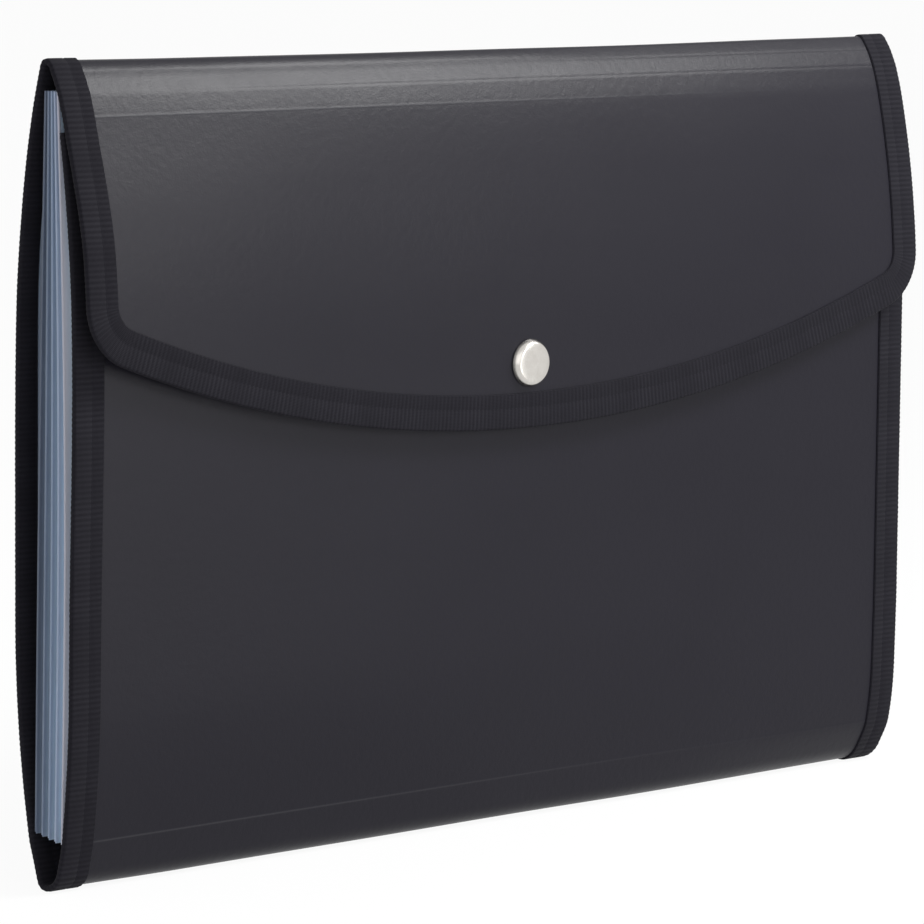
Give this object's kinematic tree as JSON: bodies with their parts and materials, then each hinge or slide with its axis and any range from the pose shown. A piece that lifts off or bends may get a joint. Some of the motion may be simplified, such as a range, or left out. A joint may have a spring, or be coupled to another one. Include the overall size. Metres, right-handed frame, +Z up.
{
  "type": "accordion file folder",
  "caption": "Letter-size accordion document folder: scored plastic cover bound with ribbed tape, pleated film pockets, and a curved flap closed by a metal snap.",
  "frame": {"origin": "under the middle of the closed folder, on the surface that it stands on", "axes": "+X along the width to the right seen from the front, +Y to the back, +Z up"},
  "size_m": [0.33, 0.0334, 0.23],
  "materials": {
    "cover_sheet": "satin black polypropylene sheet",
    "binding_tape": "black ribbed grosgrain",
    "pocket_film": "frosted blue-grey polypropylene film",
    "snap_metal": "bright nickel plate"
  },
  "bodies": {
    "back_cover": {"back_panel": "cover_sheet", "base_panel": "cover_sheet", "back_binding_left": "binding_tape", "back_binding_right": "binding_tape", "base_binding_left": "binding_tape", "base_binding_right": "binding_tape", "pocket_floor": "pocket_film", "gusset_left_1": "pocket_film", "gusset_right_1": "pocket_film"},
    "ridge_strip": {"top_strip": "cover_sheet", "strip_binding_left": "binding_tape", "strip_binding_right": "binding_tape"},
    "flap": {"flap_panel": "cover_sheet", "flap_binding": "binding_tape", "snap_cap": "snap_metal", "snap_socket": "snap_metal", "snap_spring": "snap_metal"},
    "front_cover": {"front_panel": "cover_sheet", "front_binding": "binding_tape", "snap_stud": "snap_metal", "snap_rivet": "snap_metal"},
    "film_1": {"divider_1": "pocket_film", "gusset_left_2": "pocket_film", "gusset_right_2": "pocket_film"},
    "film_2": {"divider_2": "pocket_film", "gusset_left_3": "pocket_film", "gusset_right_3": "pocket_film"},
    "film_3": {"divider_3": "pocket_film", "gusset_left_4": "pocket_film", "gusset_right_4": "pocket_film"},
    "film_4": {"divider_4": "pocket_film", "gusset_left_5": "pocket_film", "gusset_right_5": "pocket_film"},
    "film_5": {"divider_5": "pocket_film", "gusset_left_6": "pocket_film", "gusset_right_6": "pocket_film"}
  },
  "joints": [
    {"name": "top_fold", "type": "hinge", "parent": "back_cover", "child": "ridge_strip", "pos_m": [0, 0.00539, 0.22778], "axis": [-1, 0, 0], "range_deg": [0, 150]},
    {"name": "flap_fold", "type": "hinge", "parent": "ridge_strip", "child": "flap", "pos_m": [0, -0.00635, 0.21433], "axis": [-1, 0, 0], "range_deg": [0, 165]},
    {"name": "front_fan", "type": "hinge", "parent": "back_cover", "child": "front_cover", "pos_m": [0, -0.00589, 0.01387], "axis": [1, 0, 0], "range_deg": [0, 12], "deforming": ["gusset_left_6", "gusset_right_6"]},
    {"name": "film_1_fan", "type": "hinge", "parent": "back_cover", "child": "film_1", "pos_m": [0, 0.00821, 0.016], "axis": [1, 0, 0], "range_deg": [0, 2.01], "deforming": ["gusset_left_1", "gusset_right_1"]},
    {"name": "film_2_fan", "type": "hinge", "parent": "back_cover", "child": "film_2", "pos_m": [0, 0.00528, 0.016], "axis": [1, 0, 0], "range_deg": [0, 4.01], "deforming": ["gusset_left_2", "gusset_right_2"]},
    {"name": "film_3_fan", "type": "hinge", "parent": "back_cover", "child": "film_3", "pos_m": [0, 0.00236, 0.016], "axis": [1, 0, 0], "range_deg": [0, 6.01], "deforming": ["gusset_left_3", "gusset_right_3"]},
    {"name": "film_4_fan", "type": "hinge", "parent": "back_cover", "child": "film_4", "pos_m": [0, -0.00056, 0.016], "axis": [1, 0, 0], "range_deg": [0, 8.01], "deforming": ["gusset_left_4", "gusset_right_4"]},
    {"name": "film_5_fan", "type": "hinge", "parent": "back_cover", "child": "film_5", "pos_m": [0, -0.00349, 0.016], "axis": [1, 0, 0], "range_deg": [0, 10.01], "deforming": ["gusset_left_5", "gusset_right_5"]}
  ],
  "couplings": [
    {"joint": "front_fan", "follows": "top_fold", "ratio": 0.08},
    {"joint": "film_1_fan", "follows": "top_fold", "ratio": 0.013333},
    {"joint": "film_2_fan", "follows": "top_fold", "ratio": 0.026667},
    {"joint": "film_3_fan", "follows": "top_fold", "ratio": 0.04},
    {"joint": "film_4_fan", "follows": "top_fold", "ratio": 0.053333},
    {"joint": "film_5_fan", "follows": "top_fold", "ratio": 0.066667}
  ]
}
